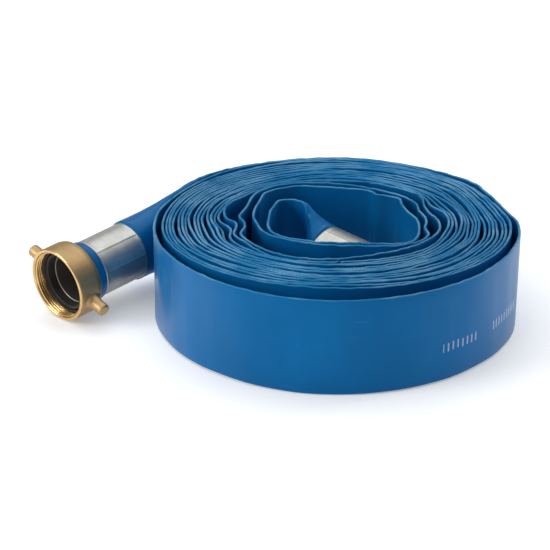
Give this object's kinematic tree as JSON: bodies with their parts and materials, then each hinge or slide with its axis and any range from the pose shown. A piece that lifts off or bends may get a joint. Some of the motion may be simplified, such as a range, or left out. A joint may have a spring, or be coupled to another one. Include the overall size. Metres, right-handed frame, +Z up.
{
  "type": "rolled lay-flat hose",
  "caption": "Reinforced lay-flat hose wound flat on its edge, with a threaded swivel coupling on the outer end and a male coupling on the inner end.",
  "frame": {"origin": "bottom centre of the whole part's box, on the surface that the roll stands on", "axes": "+Z up along the roll's axis, +X from the outer coupling towards the roll, +Y away from the side where the swivel nut's lugs show"},
  "size_m": [0.4292, 0.32, 0.085],
  "materials": {
    "hose_pvc": "glossy extruded PVC over woven yarn",
    "coupling_brass": "tumbled cast brass",
    "zinc_steel": "zinc plated",
    "shank_steel": "turned",
    "gasket_rubber": "matt moulded"
  },
  "bodies": {
    "hose": {"hose_roll": "hose_pvc", "hose_outer_lead": "hose_pvc", "hose_outer_end": "hose_pvc", "hose_inner_lead": "hose_pvc", "hose_inner_end": "hose_pvc", "outer_ferrule": "zinc_steel", "inner_ferrule": "zinc_steel", "female_shank": "shank_steel", "male_coupling": "shank_steel"},
    "swivel": {"swivel_nut": "coupling_brass", "gasket": "gasket_rubber"}
  },
  "joints": [
    {"name": "swivel_spin", "type": "hinge", "parent": "hose", "child": "swivel", "pos_m": [-0.18721, -0.01883, 0.03362], "axis": [0.6995, 0.7093, 0.0872], "continuous": true}
  ]
}
